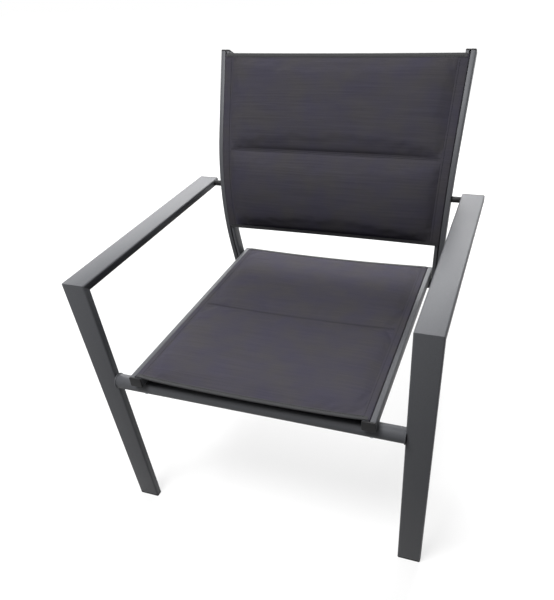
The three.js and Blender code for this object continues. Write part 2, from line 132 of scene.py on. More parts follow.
floor_size = 16
floor_glow_near, floor_glow_far = 0.70, 1.0
glow_rises_from, glow_rises_to = 0.9, 2.4
surround_fill = 0.05

floor_finish, tree = new_material("matt_white_floor")
place = add_node(tree, "TexCoord", {}).outputs["Object"]
away = add_node(tree, "VectorMath", {0: place}, operation="LENGTH")
glow_strength = add_node(
    tree,
    "MapRange",
    {
        "Value": away.outputs["Value"],
        "From Min": glow_rises_from,
        "From Max": glow_rises_to,
        "To Min": floor_glow_near,
        "To Max": floor_glow_far,
    },
)
glow = add_node(tree, "Emission", {"Color": linear("#ffffff"), "Strength": glow_strength.outputs[0]})
pale = add_node(tree, "BsdfDiffuse", {"Color": linear("#969696")})
white = add_node(tree, "AddShader", {0: pale.outputs[0], 1: glow.outputs[0]})
dull = add_node(tree, "BsdfDiffuse", {"Color": linear("#3c3c3c")})
either = add_node(tree, "MixShader", {0: seen_directly(tree), 1: dull.outputs[0], 2: white.outputs[0]})
add_node(tree, "OutputMaterial", {"Surface": either.outputs[0]})

bpy.ops.object.select_all(action="DESELECT")
bpy.ops.mesh.primitive_plane_add(size=floor_size)
floor = bpy.context.object
floor.name = "floor"
floor.data.materials.append(floor_finish)

world = bpy.data.worlds.new("studio")
world.use_nodes = True
tree = world.node_tree
tree.nodes.clear()
strength = add_node(tree, "MapRange", {"Value": seen_directly(tree), "To Min": surround_fill, "To Max": 1.0})
surround = add_node(tree, "Background", {"Color": linear("#ffffff"), "Strength": strength.outputs[0]})
add_node(tree, "OutputWorld", {"Surface": surround.outputs[0]})
bpy.context.scene.world = world


def add_lamp(name, place, aim, size, watts, matt):
    """A softbox. Matt is the share of it that falls on matt surfaces, next to what glossy ones mirror."""
    lamp = bpy.data.lights.new(name, "AREA")
    lamp.shape = "RECTANGLE"
    lamp.size, lamp.size_y = size
    lamp.energy = watts
    lamp.diffuse_factor = matt
    holder = bpy.data.objects.new(name, lamp)
    holder.location = place
    holder.rotation_euler = (Vector(aim) - Vector(place)).to_track_quat("-Z", "Y").to_euler()
    holder.visible_camera = False
    bpy.context.collection.objects.link(holder)


key_share, rear_share = 1.0, 0.03
add_lamp("front_softbox", (-0.40, -1.02, 2.6), aim=(0, 0, 0.4), size=(1.0, 0.8), watts=70, matt=key_share)
add_lamp("rear_panel", (-2.0, 1.95, 1.6), aim=(-0.3, 0, 0.5), size=(2.5, 1.5), watts=52, matt=rear_share)
add_lamp("rear_low_panel", (0.1, 1.95, 1.25), aim=(0.3, 0, 0.54), size=(1.8, 1.0), watts=13, matt=rear_share)
add_lamp("rear_softbox", (-0.05, 1.95, 2.15), aim=(0.25, 0, 0.5), size=(1.3, 1.3), watts=58, matt=rear_share)


# Side frames, left and right: a front leg and an arm of the same flat aluminium tube with rounded corners,
# cut to a mitre, welded, and ground flush outside. The weld's bead stays inside the corner, under the arm.
def finish_piece(piece, finish, slot, *nodes):
    """Gives a piece its finish, and hides the solids that it stands for. The slot is not used."""
    piece.data.materials.clear()
    piece.data.materials.append(finish)
    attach(piece, "root")
    if nodes:
        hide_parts(*nodes)


def take_up(name):
    """Names the primitive that was just added, and puts its place and its size into its mesh."""
    piece = bpy.context.object
    piece.name = piece.data.name = name
    bpy.ops.object.transform_apply(location=True, rotation=True, scale=True)
    return piece


def select_only(piece):
    bpy.ops.object.select_all(action="DESELECT")
    bpy.context.view_layer.objects.active = piece
    piece.select_set(True)


def pick(piece, kind, wanted):
    """Goes into edit mode with only those vertices, edges or faces selected that are wanted."""
    bpy.context.tool_settings.mesh_select_mode = [kind == which for which in ("verts", "edges", "faces")]
    bpy.ops.object.mode_set(mode="EDIT")
    bpy.ops.mesh.select_all(action="DESELECT")
    shape = bmesh.from_edit_mesh(piece.data)
    for item in getattr(shape, kind):
        if wanted(item):
            item.select_set(True)
    bmesh.update_edit_mesh(piece.data)


def break_edges(piece, radius):
    """Rounds the edges sharper than the crease angle a little, and shades the rest smooth."""
    select_only(piece)
    if radius:
        bevel = piece.modifiers.new("broken_edges", "BEVEL")
        bevel.width, bevel.segments = radius, edge_segments
        bevel.limit_method, bevel.angle_limit = "ANGLE", crease_angle
        bpy.ops.object.modifier_apply(modifier=bevel.name)
    bpy.ops.object.shade_smooth_by_angle(angle=crease_angle)


def powder_coat():
    """Satin polyester powder coat, graphite with a fine metal flake. It flows out to a faint orange peel when
    it is cured, and at a low angle it mirrors the sky. The flake is drawn coarser than the real 0.1 mm."""
    flake_size, peel_size, cloud_size = 0.0007, 0.0016, 0.09
    material, tree = new_material("satin_powder_coat")
    place = add_node(tree, "TexCoord", {}).outputs["Object"]
    flake = add_node(tree, "TexVoronoi", {"Vector": place, "Scale": 1 / flake_size})
    tint = {"Factor": flake.outputs["Color"], "A": linear(coat_dark), "B": linear(coat_light)}
    colour = add_node(tree, "Mix", tint, data_type="RGBA")
    cloud = add_node(tree, "TexNoise", {"Vector": place, "Scale": 1 / cloud_size, "Detail": 3.0})
    matt = add_node(tree, "MapRange", {"Value": cloud.outputs["Fac"], "To Min": 0.46, "To Max": 0.54})
    peel = add_node(tree, "TexNoise", {"Vector": place, "Scale": 1 / peel_size, "Detail": 1.0})
    bump = add_node(tree, "Bump", {"Height": peel.outputs["Fac"], "Strength": 0.15, "Distance": 0.0001})
    coat = {
        "Base Color": colour.outputs["Result"],
        "Metallic": 0.08,
        "Roughness": matt.outputs[0],
        "IOR": 1.32,
        "Normal": bump.outputs[0],
    }
    shader = add_node(tree, "BsdfPrincipled", coat)
    add_node(tree, "OutputMaterial", {"Surface": shader.outputs[0]})
    return material


coat_dark, coat_light = "#4b4c4f", "#55565a"
coat_finish = powder_coat()

crease_angle = math.radians(32)
edge_segments = 2
corner_radius = 0.003
corner_segments = 6
ground_edge = 0.0003
weld_radius = 0.0016
weld_ripple = 0.0012
ripple_depth = 0.00016
rings_per_ripple = 3
bead_sides = 12
bead_end_share = 0.3
merge_distance = 0.00001
across, deep, upright = range(3)


def flat_tube(node, along, name):
    """A length of the flat tube in the place of a solid, cut along the mitre at the arm's front corner."""
    low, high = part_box(node)
    bpy.ops.object.select_all(action="DESELECT")
    bpy.ops.mesh.primitive_cube_add(size=1, location=(low + high) / 2, scale=high - low)
    piece = take_up(name)
    long_enough = min(high - low) + 2 * corner_radius
    pick(piece, "edges", lambda edge: abs((edge.verts[0].co - edge.verts[1].co)[along]) > long_enough)
    bpy.ops.mesh.bevel(offset=corner_radius, segments=corner_segments, affect="EDGES")
    bpy.ops.mesh.select_all(action="SELECT")
    bpy.ops.mesh.bisect(
        plane_co=(0, front_face, arm_top),
        plane_no=(0, 1, 1),
        use_fill=True,
        clear_outer=along == upright,
        clear_inner=along == deep,
    )
    bpy.ops.object.mode_set(mode="OBJECT")
    break_edges(piece, ground_edge)
    finish_piece(piece, coat_finish, "frame_coat", node)


def ripple(piece, along_bead):
    """Presses every third ring of a bead in a little, as the weld pool leaves it."""
    ring_length = weld_ripple / rings_per_ripple
    pick(piece, "verts", lambda vert: round(along_bead(vert.co) / ring_length) % rings_per_ripple == 0)
    bpy.ops.transform.shrink_fatten(value=-ripple_depth)
    bpy.ops.object.mode_set(mode="OBJECT")
    break_edges(piece, 0)
    finish_piece(piece, coat_finish, "frame_coat")


def straight_weld(name, start, length):
    """A bead along X, cut into rings that are a third of a ripple long."""
    rings = round(length * rings_per_ripple / weld_ripple)
    bpy.ops.object.select_all(action="DESELECT")
    bpy.ops.mesh.primitive_grid_add(x_subdivisions=rings, y_subdivisions=bead_sides, size=1)
    piece = take_up(name)
    for vert in piece.data.vertices:
        turn = 2 * math.pi * (vert.co.y + 0.5)
        taper = min(1, (0.5 - abs(vert.co.x)) * length / weld_radius + bead_end_share)
        spread = weld_radius * taper
        along = (vert.co.x + 0.5) * length
        vert.co = Vector(start) + Vector((along, spread * math.cos(turn), spread * math.sin(turn)))
    pick(piece, "verts", lambda vert: True)
    bpy.ops.mesh.remove_doubles(threshold=merge_distance)
    bpy.ops.mesh.fill_holes(sides=0)
    bpy.ops.mesh.normals_make_consistent(inside=False)
    bpy.ops.object.mode_set(mode="OBJECT")
    ripple(piece, lambda place: place.x - start[0])


arm_low, arm_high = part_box("left_arm")
front_face, arm_top = arm_low.y, arm_high.z
flat_thickness = arm_high.z - arm_low.z
for side in ("left", "right"):
    flat_tube(f"{side}_front_leg", upright, f"{side}_front_leg_tube")
    flat_tube(f"{side}_arm", deep, f"{side}_arm_tube")
    inner_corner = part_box(f"{side}_arm")[0] + Vector((corner_radius, flat_thickness, 0))
    straight_weld(f"{side}_mitre_weld", inner_corner, arm_high.x - arm_low.x - 2 * corner_radius)


# Crossbars and spreaders: round aluminium tubes between the front legs, between the rear legs and between the
# posts behind the back. Each end is welded all round to the tube or profile that it meets.
tube_sides = 72
tube_wall = 0.0016
tube_end_depth = 0.02
end_facing = 0.9
ring_bead_sides = 8


def ring_weld(name, place, tube_radius):
    """A bead round the end of a tube that lies along X."""
    rings = round(2 * math.pi * tube_radius / weld_ripple) * rings_per_ripple
    bpy.ops.object.select_all(action="DESELECT")
    bpy.ops.mesh.primitive_torus_add(
        location=place,
        rotation=(0, math.pi / 2, 0),
        major_radius=tube_radius,
        minor_radius=weld_radius,
        major_segments=rings,
        minor_segments=ring_bead_sides,
    )
    piece = take_up(name)
    step = weld_ripple / rings_per_ripple * rings / (2 * math.pi)
    ripple(piece, lambda spot: math.atan2(spot.z - place.z, spot.y - place.y) * step)


def round_tube(node):
    """A tube along X in the place of a solid, hollow near its ends, with a weld round each."""
    low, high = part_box(node)
    radius = (high.z - low.z) / 2
    middle = (low + high) / 2
    bpy.ops.object.select_all(action="DESELECT")
    bpy.ops.mesh.primitive_cylinder_add(
        vertices=tube_sides,
        radius=radius,
        depth=high.x - low.x,
        location=middle,
        rotation=(0, math.pi / 2, 0),
    )
    piece = take_up(f"{node}_tube")
    pick(piece, "faces", lambda face: abs(face.normal.x) > end_facing)
    bpy.ops.mesh.inset(thickness=tube_wall)
    bpy.ops.mesh.extrude_region_shrink_fatten(TRANSFORM_OT_shrink_fatten={"value": -tube_end_depth})
    bpy.ops.object.mode_set(mode="OBJECT")
    break_edges(piece, ground_edge / 2)
    finish_piece(piece, coat_finish, "frame_coat", node)
    for side, x in (("left", high.x), ("right", low.x)):
        ring_weld(f"{side}_{node}_weld", Vector((x, middle.y, middle.z)), radius)


for node in ("front_crossbar", "rear_crossbar", "lower_back_spreader", "upper_back_spreader"):
    round_tube(node)


# Seat rails and back posts: aluminium extrusions with a keyhole groove for the sling's hem. The rails are
# straight, and the posts are bent over a former above the seat. Their cut ends are deburred and plugged.
flat_angle = math.radians(0.5)
deburred_edge = 0.00025


def refined(node, name, radius):
    """A copy of a solid with its triangles joined, its edges broken and its round walls shaded round."""
    piece = frame["nodes"][node].copy()
    piece.data = frame["nodes"][node].data.copy()
    piece.name = piece.data.name = name
    piece.parent = None
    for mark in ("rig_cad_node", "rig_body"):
        piece.pop(mark, None)
    bpy.context.collection.objects.link(piece)
    select_only(piece)
    pick(piece, "verts", lambda vert: True)
    bpy.ops.mesh.remove_doubles(threshold=merge_distance)
    bpy.ops.mesh.dissolve_limited(angle_limit=flat_angle)
    bpy.ops.mesh.customdata_custom_splitnormals_clear()
    bpy.ops.object.mode_set(mode="OBJECT")
    break_edges(piece, radius)
    return piece


for side in ("left", "right"):
    for node in (f"{side}_seat_rail", f"{side}_back_post"):
        finish_piece(refined(node, f"{node}_profile", deburred_edge), coat_finish, "frame_coat", node)


# Feet, caps, saddles, spacers and hem rods: black polypropylene, injection moulded with a fine eroded grain.
# The feet and caps are driven into the tube ends, and the saddles seat the rails on the round crossbars.
def moulded_polypropylene():
    """The grain of the mould scatters the light, so the gloss is soft and grey. It is drawn 0.6 mm wide,
    coarser than real."""
    grain_size = 0.0006
    material, tree = new_material("moulded_polypropylene")
    place = add_node(tree, "TexCoord", {}).outputs["Object"]
    grain = add_node(tree, "TexNoise", {"Vector": place, "Scale": 1 / grain_size, "Detail": 3.0})
    bump = add_node(tree, "Bump", {"Height": grain.outputs["Fac"], "Strength": 0.4, "Distance": 0.00015})
    matt = add_node(tree, "MapRange", {"Value": grain.outputs["Fac"], "To Min": 0.48, "To Max": 0.64})
    tint = {"Factor": grain.outputs["Fac"], "A": linear("#131314"), "B": linear("#1c1c1e")}
    colour = add_node(tree, "Mix", tint, data_type="RGBA")
    plastic = {
        "Base Color": colour.outputs["Result"],
        "Roughness": matt.outputs[0],
        "IOR": 1.49,
        "Specular IOR Level": 0.25,
        "Normal": bump.outputs[0],
    }
    shader = add_node(tree, "BsdfPrincipled", plastic)
    add_node(tree, "OutputMaterial", {"Surface": shader.outputs[0]})
    return material


plastic_finish = moulded_polypropylene()
moulded_edge = 0.0005
thin_edge = 0.0002
plastic_pieces = {
    "front_foot": moulded_edge,
    "rear_foot": moulded_edge,
    "arm_end_cap": moulded_edge,
    "rail_front_cap": moulded_edge,
    "rail_rear_cap": moulded_edge,
    "post_cap": moulded_edge,
    "front_saddle": thin_edge,
    "rear_saddle": thin_edge,
    "arm_spacer": thin_edge,
}
for side in ("left", "right"):
    for kind, radius in plastic_pieces.items():
        node = f"{side}_{kind}"
        finish_piece(refined(node, f"{node}_moulding", radius), plastic_finish, "black_plastic", node)
    for node in (f"{side}_seat_spline", f"{side}_back_spline"):
        frame["nodes"][node].material_slots[0].material = plastic_finish


# Bolts and nuts: steel button-head bolts with a hexagon socket, bright zinc plated. They hold the rails down
# on the crossbars from below, and the posts to the arms through the spacers. The nuts are in rails and arms.
def bright_zinc():
    """Thin zinc plate keeps the fine turning marks of the steel, so the mirror is streaky. They are drawn
    0.5 mm apart, coarser than real."""
    mark_size = 0.0005
    material, tree = new_material("bright_zinc_plate")
    place = add_node(tree, "TexCoord", {}).outputs["Object"]
    marks = add_node(tree, "TexNoise", {"Vector": place, "Scale": 1 / mark_size, "Detail": 4.0})
    tint = {"Factor": marks.outputs["Fac"], "A": linear("#8f9398"), "B": linear("#bcc0c4")}
    colour = add_node(tree, "Mix", tint, data_type="RGBA")
    gloss = add_node(tree, "MapRange", {"Value": marks.outputs["Fac"], "To Min": 0.22, "To Max": 0.4})
    plate = {"Base Color": colour.outputs["Result"], "Metallic": 1.0, "Roughness": gloss.outputs[0]}
    shader = add_node(tree, "BsdfPrincipled", plate)
    add_node(tree, "OutputMaterial", {"Surface": shader.outputs[0]})
    return material


zinc_finish = bright_zinc()
shank_radius = 0.003
head_height = 0.0032
head_round, head_round_segments = 0.0021, 6
socket_sides = 6
socket_across = 0.0038
socket_depth = 0.0018
bolt_sides = 48


def button_bolt(node, axis, head_at_low):
    """A bolt in the place of a solid, made upright at the origin with its head on top, then laid in place."""
    low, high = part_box(node)
    length = (high - low)[axis]
    head_radius = (high - low)[(axis + 1) % 3] / 2
    bpy.ops.object.select_all(action="DESELECT")
    bpy.ops.mesh.primitive_cylinder_add(
        vertices=bolt_sides, radius=shank_radius, depth=length, location=(0, 0, 0)
    )
    shank = take_up(f"{node}_shank")
    shank.data.transform(Matrix.Translation((0, 0, -length / 2)))
    bpy.ops.mesh.primitive_cylinder_add(
        vertices=bolt_sides, radius=head_radius, depth=head_height, location=(0, 0, 0)
    )
    head = take_up(f"{node}_steel")
    head.data.transform(Matrix.Translation((0, 0, -head_height / 2)))
    pick(head, "edges", lambda edge: all(vert.co.z > -head_height / 2 for vert in edge.verts))
    bpy.ops.mesh.bevel(offset=head_round, segments=head_round_segments, affect="EDGES")
    bpy.ops.object.mode_set(mode="OBJECT")
    bpy.ops.mesh.primitive_cylinder_add(
        vertices=socket_sides, radius=socket_across / math.sqrt(3), depth=2 * socket_depth, location=(0, 0, 0)
    )
    key = take_up("socket_key")
    for operation, other in (("UNION", shank), ("DIFFERENCE", key)):
        select_only(head)
        join = head.modifiers.new("join", "BOOLEAN")
        join.operation, join.object, join.solver = operation, other, "EXACT"
        bpy.ops.object.modifier_apply(modifier=join.name)
        bpy.data.objects.remove(other)
    break_edges(head, 0)
    outward = Vector([float(i == axis) for i in range(3)]) * (-1 if head_at_low else 1)
    top = (low + high) / 2 + outward * length / 2
    head.data.transform(Matrix.Translation(top) @ outward.to_track_quat("Z", "Y").to_matrix().to_4x4())
    finish_piece(head, zinc_finish, "plated_steel", node)


for side in ("left", "right"):
    button_bolt(f"{side}_front_rail_bolt", upright, True)
    button_bolt(f"{side}_rear_rail_bolt", upright, True)
    button_bolt(f"{side}_arm_bolt", across, side == "left")
    for node in (f"{side}_front_rail_nut", f"{side}_rear_rail_nut", f"{side}_arm_nut"):
        frame["nodes"][node].material_slots[0].material = zinc_finish


# Seat and back panels: quick-drying foam between two layers of charcoal sling cloth, sewn together round the
# edge and across the middle. The seat lies level between the rails, and the back follows the posts' bend.
wave_radians = 20


def sling_cloth():
    """PVC-coated polyester yarn in a plain weave. Its colour follows each yarn's height: a painted highlight
    on the crest and painted shade at the edges, between the yarns. It is matt, and its picks show as fine
    streaks across. The 0.5 mm yarn is drawn 1.4 mm wide. A wave of scale 1 has 20 radians to a metre."""
    yarn_width, streak_length, patch_size = 0.0014, 0.11, 0.06
    material, tree = new_material("coated_polyester_weave")
    flat = add_node(tree, "UVMap", {}, uv_map="run").outputs["UV"]
    over = add_node(tree, "TexChecker", {"Vector": flat, "Scale": 1 / yarn_width})
    rounds = {"Vector": flat, "Scale": 2 * math.pi / yarn_width / wave_radians, "Phase Offset": -math.pi / 2}
    warp = add_node(tree, "TexWave", rounds, bands_direction="X")
    weft = add_node(tree, "TexWave", rounds, bands_direction="Y")
    under_over = {"Factor": over.outputs["Fac"], "A": warp.outputs["Fac"], "B": weft.outputs["Fac"]}
    weave = add_node(tree, "Mix", under_over)
    # Painted light: the yarn is lighter on its crest and darker at its edges, following the weave's height.
    yarn_lit_and_shaded = {"Factor": weave.outputs["Result"], "A": linear(yarn_shaded_tone), "B": linear(yarn_lit_tone)}
    yarn = add_node(tree, "Mix", yarn_lit_and_shaded, data_type="RGBA")

    stretched = (1 / streak_length, 1 / (2 * yarn_width), 1.0)
    long_way = add_node(tree, "Mapping", {"Vector": flat, "Scale": stretched})
    streak = add_node(tree, "TexNoise", {"Vector": long_way.outputs[0], "Scale": 1.0, "Detail": 2.0})
    patch = add_node(tree, "TexNoise", {"Vector": flat, "Scale": 1 / patch_size, "Detail": 3.0})
    slub = {"Value": streak.outputs["Fac"], "From Min": 0.3, "From Max": 0.7, "To Min": 0.91, "To Max": 1.08}
    tone = add_node(tree, "MapRange", slub)
    cloud = add_node(tree, "MapRange", {"Value": patch.outputs["Fac"], "From Min": 0.35, "From Max": 0.65})
    hue = {"Factor": cloud.outputs[0], "A": linear("#f4f1ff"), "B": linear("#fffcf5")}
    cast = add_node(tree, "Mix", hue, data_type="RGBA")
    dyed = {"Factor": 1.0, "A": yarn.outputs["Result"], "B": cast.outputs["Result"]}
    colour = add_node(tree, "Mix", dyed, data_type="RGBA", blend_type="MULTIPLY")
    streaky = add_node(tree, "HueSaturation", {"Color": colour.outputs["Result"], "Value": tone.outputs[0]})

    bump = add_node(tree, "Bump", {"Height": weave.outputs["Result"], "Strength": 0.5, "Distance": 0.0004})
    cloth = {
        "Base Color": streaky.outputs["Color"],
        "Roughness": 0.75,
        "IOR": 1.45,
        "Specular IOR Level": 0.02,
        "Normal": bump.outputs[0],
    }
    shader = add_node(tree, "BsdfPrincipled", cloth)
    add_node(tree, "OutputMaterial", {"Surface": shader.outputs[0]})
    return material


# The yarn's colour in painted shade at its edges, and under a painted highlight on its crest.
yarn_shaded_tone, yarn_lit_tone = "#3b3a3f", "#4e4d54"
cloth_finish = sling_cloth()

seat_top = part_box("left_seat_rail")[1].z
rail_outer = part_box("left_seat_rail")[1].x
arm_middle = arm_top - flat_thickness / 2
arm_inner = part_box("left_arm")[0].x
post_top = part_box("left_back_post")[1].z

leg_lean = math.radians(7.65)
back_lean = math.radians(27)
knee_height = 0.523
knee_from_front = 0.460
knee_depth = front_face + knee_from_front
bend_reach = 0.128
bend_angle = leg_lean + back_lean
bend_radius = bend_reach / math.tan(bend_angle / 2)
bend_starts = knee_height / math.cos(leg_lean) - bend_reach
bend_ends = bend_starts + bend_radius * bend_angle
arm_post_gap = 0.0184
post_splay = math.radians(1.745)


def on_seat(inset, run, height):
    """A point by its distance in from the left rail's outer face, its Y, and its height over the rail."""
    return Vector((rail_outer - inset, run, seat_top + height))


def on_back(inset, run, height):
    """A point by its distance in from the left post's outer face, its run up the post, and its height."""
    turned = min(max((run - bend_starts) / bend_radius, 0), bend_angle)
    lean = turned - leg_lean
    below, above = min(run, bend_starts), max(run - bend_ends, 0)
    y = knee_depth + knee_height * math.tan(leg_lean) - below * math.sin(leg_lean)
    y += above * math.sin(back_lean)
    y += bend_radius * (math.cos(leg_lean) - math.cos(lean)) - height * math.cos(lean)
    z = below * math.cos(leg_lean) + above * math.cos(back_lean) + height * math.sin(lean)
    z += bend_radius * (math.sin(leg_lean) + math.sin(lean))
    return Vector((arm_inner - arm_post_gap + (z - arm_middle) * math.tan(post_splay) - inset, y, z))


longest_run = 1.2
halvings = 40


def run_at_height(height):
    """How far up the post a height is, found by halving."""
    low, high = 0.0, longest_run
    for _ in range(halvings):
        middle = (low + high) / 2
        low, high = (middle, high) if on_back(0, middle, 0).z < height else (low, middle)
    return low


sheet_thickness = 0.0009
hem_gap = 0.0003
pad_floor = hem_gap + sheet_thickness
sewn_half = 0.0011
seam_half = 0.003
belly = 0.0035
tape_width = 0.006
pucker_spacing = 0.016
pucker_depth = 0.04
pucker_reach = 0.012
side_pucker_shift = 0.3
side_squareness = 8
roll_reach = 0.015
columns = 72
channel_rows = 44
tape_rows = 3
spacing_at_ends = 0.2


class Panel(NamedTuple):
    """Where a panel's points lie, how far in its padding starts, its two ends and its seam by their run along
    the rails, how low it hangs, how far its start rolls down, and how high and square its cushions are."""

    place: Callable
    edge_inset: float
    start: float
    seam: float
    end: float
    sag: float
    roll: float
    crown: float
    squareness: float


def closer_at_ends(share):
    """Moves even shares of a length, from 0 to 1, so that at its ends they lie five times closer together."""
    return spacing_at_ends * share + (1 - spacing_at_ends) / 2 * (1 - math.cos(math.pi * share))


def pucker(place_along):
    """The uneven little folds beside a seam, from -1 to 1, as waves with a size, a rate and a shift."""
    turns = 2 * math.pi * place_along / pucker_spacing
    waves = (0.5, 1, 0), (0.3, 0.61, 1.7), (0.2, 1.83, 0.6)
    return sum(size * math.sin(rate * turns + shift) for size, rate, shift in waves)


def channels(panel):
    """The two stretches of a panel that hold foam, between its taped ends and the strip that is sewn flat."""
    before = (panel.start + tape_width, panel.seam - seam_half)
    behind = (panel.seam + seam_half, panel.end - tape_width)
    return before, behind


def fullness(panel, x, run, half_width):
    """How full of foam the panel is: 0 where it is sewn, 1 in the middle of a channel, puckered by a seam."""
    low, high = channels(panel)[run > panel.seam]
    if not low < run < high or abs(x) >= half_width:
        return 0.0
    from_middle = abs(2 * (run - low) / (high - low) - 1)
    dome = math.sqrt(1 - from_middle**panel.squareness) * (1 - abs(x / half_width) ** side_squareness)
    beside_seam = math.exp(-min(run - low, high - run) / pucker_reach)
    beside_edge = math.exp(-(half_width - abs(x)) / pucker_reach)
    folds = beside_seam * pucker(x) + beside_edge * pucker(run + side_pucker_shift)
    return dome * (1 + pucker_depth * folds)


def hang(panel, x, run, half_width):
    """How low the panel hangs between its rails: most in the middle, and more where its start rolls down."""
    share = min(1, abs(x / half_width))
    droop = math.exp((panel.start - run) / roll_reach)
    return panel.sag * (1 - share**2) + panel.roll * (1 - share**side_squareness) * droop


def padded_panel(name, panel):
    """The two layers, flat where they are sewn and domed between, and closed all round."""
    rows = [panel.start + tape_width * i / tape_rows for i in range(tape_rows)]
    for low, high in channels(panel):
        rows += [low + (high - low) * closer_at_ends(i / channel_rows) for i in range(channel_rows + 1)]
    rows += [panel.end - tape_width * i / tape_rows for i in range(tape_rows - 1, -1, -1)]
    points, sewn, flat = [], [], []
    for face, rise in ((1, panel.crown), (-1, -belly)):
        for run in rows:
            half_width = panel.place(panel.edge_inset, run, pad_floor).x
            for i in range(columns + 1):
                x = half_width * (2 * closer_at_ends(i / columns) - 1)
                full = fullness(panel, x, run, half_width)
                low = hang(panel, x, run, half_width)
                spot = panel.place(0, run, pad_floor + face * sewn_half + full * rise - low)
                points.append((x, spot.y, spot.z))
                flat.append((x, run))
                if full == 0:
                    sewn.append(len(points) - 1)
    wide, layer = columns + 1, len(rows) * (columns + 1)
    faces = []
    for corner in (r * wide + c for r in range(len(rows) - 1) for c in range(columns)):
        loop = (corner, corner + 1, corner + wide + 1, corner + wide)
        faces += [loop, tuple(layer + i for i in reversed(loop))]
    last = layer - wide
    rim = [*range(columns), *range(columns, layer - 1, wide)]
    rim += [*range(layer - 1, last, -1), *range(last, 0, -wide)]
    faces += [(b, a, layer + a, layer + b) for a, b in zip(rim, rim[1:] + rim[:1])]
    piece = new_cloth(name, points, faces, flat)
    piece.vertex_groups.new(name="sewn").add(sewn, 1.0, "REPLACE")
    return piece


def new_cloth(name, points, faces, flat):
    """A mesh piece with a UV map that gives the place of each point on the flat cloth, in metres."""
    mesh = bpy.data.meshes.new(name)
    mesh.from_pydata(points, [], faces)
    layer = mesh.uv_layers.new(name="run")
    for loop in mesh.loops:
        layer.data[loop.index].uv = flat[loop.vertex_index]
    piece = bpy.data.objects.new(name, mesh)
    bpy.context.collection.objects.link(piece)
    return piece


foam_pressure = 4
spare_cloth = 0.006
smoothing_steps = 2
swell_cap = 0.0015
swell_frames = 20
least_move = 1e-9


def fill_with_foam(piece):
    """Cloth simulation swells what isn't sewn, and no point moves further than the cap."""
    before = np.array([vert.co for vert in piece.data.vertices])
    cloth = piece.modifiers.new("cloth", "CLOTH")
    settings = cloth.settings
    settings.quality = 6
    settings.mass = 0.3
    settings.tension_stiffness = settings.compression_stiffness = 25
    settings.shear_stiffness = 8
    settings.bending_stiffness = 0.8
    settings.vertex_group_mass = "sewn"
    settings.shrink_min = -spare_cloth
    settings.use_pressure = True
    settings.uniform_pressure_force = foam_pressure
    settings.effector_weights.gravity = 0
    cloth.collision_settings.use_collision = False
    cloth.point_cache.frame_start, cloth.point_cache.frame_end = 1, swell_frames
    for step in range(1, swell_frames + 1):
        bpy.context.scene.frame_set(step)
    select_only(piece)
    bpy.ops.object.modifier_apply(modifier=cloth.name)
    bpy.context.scene.frame_set(1)
    calm = piece.modifiers.new("calm", "SMOOTH")
    calm.vertex_group, calm.invert_vertex_group, calm.iterations = "sewn", True, smoothing_steps
    bpy.ops.object.modifier_apply(modifier=calm.name)
    moved = np.array([vert.co for vert in piece.data.vertices]) - before
    distance = np.linalg.norm(moved, axis=1, keepdims=True)
    after = before + moved * np.minimum(1, swell_cap / np.maximum(distance, least_move))
    piece.data.vertices.foreach_set("co", after.ravel())
    piece.data.update()


tape_bulge = 0.0018
seat_behind_rail_end = 0.0004
back_above_seat = 0.071
back_below_post_top = 0.004
back_seam_share = 0.475
seat_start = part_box("left_seat_rail")[0].y + seat_behind_rail_end + tape_bulge
seat_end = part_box("seat_sling")[1].y - tape_bulge
back_start = run_at_height(seat_top + back_above_seat) + tape_bulge
back_end = run_at_height(post_top - back_below_post_top) - tape_bulge
panels = {
    "seat": Panel(
        place=on_seat,
        edge_inset=0.0255,
        start=seat_start,
        seam=(seat_start + seat_end) / 2,
        end=seat_end,
        sag=0.004,
        roll=0.002,
        crown=0.0065,
        squareness=3.5,
    ),
    "back": Panel(
        place=on_back,
        edge_inset=0.030,
        start=back_start,
        seam=back_start + (back_end - back_start) * back_seam_share,
        end=back_end,
        sag=0.0025,
        roll=0,
        crown=0.015,
        squareness=2.4,
    ),
}
pads = {}
for kind, panel in panels.items():
    pad = pads[kind] = padded_panel(f"{kind}_pad", panel)
    fill_with_foam(pad)
    select_only(pad)
    finer = pad.modifiers.new("finer", "SUBSURF")
    finer.levels = finer.render_levels = 1
    bpy.ops.object.modifier_apply(modifier=finer.name)
    bpy.ops.object.shade_smooth()
    finish_piece(pad, cloth_finish, "sling_fabric", f"{kind}_sling")


# Side hems: each side of a sling is folded round a rod, and both layers come out of the groove's mouth and
# lie over the rail to the edge of the padding. The rod can't pass the mouth, so it slides in from one end.
groove_inset = 0.0115
groove_radius, groove_mouth, groove_lip = 0.0036, 0.003, 0.0016
bore_depth = groove_lip + math.sqrt(groove_radius**2 - (groove_mouth / 2) ** 2)
loop_radius = 0.0028
neck_half = 0.00055
upper_height = hem_gap + 1.5 * sheet_thickness
lower_height = hem_gap + 0.5 * sheet_thickness
upper_turn, lower_turn = 0.0026, 0.0017
turn_steps, loop_steps = 5, 16
hem_overlap = 0.002
hem_station = 0.004
hem_wave = 0.0005
wave_reach = 0.03


def arc(centre, radius, first, last, steps):
    """Points along a part of a circle, from the first angle to the last."""
    angles = [first + (last - first) * i / steps for i in range(steps + 1)]
    return [(centre[0] + radius * math.cos(a), centre[1] + radius * math.sin(a)) for a in angles]


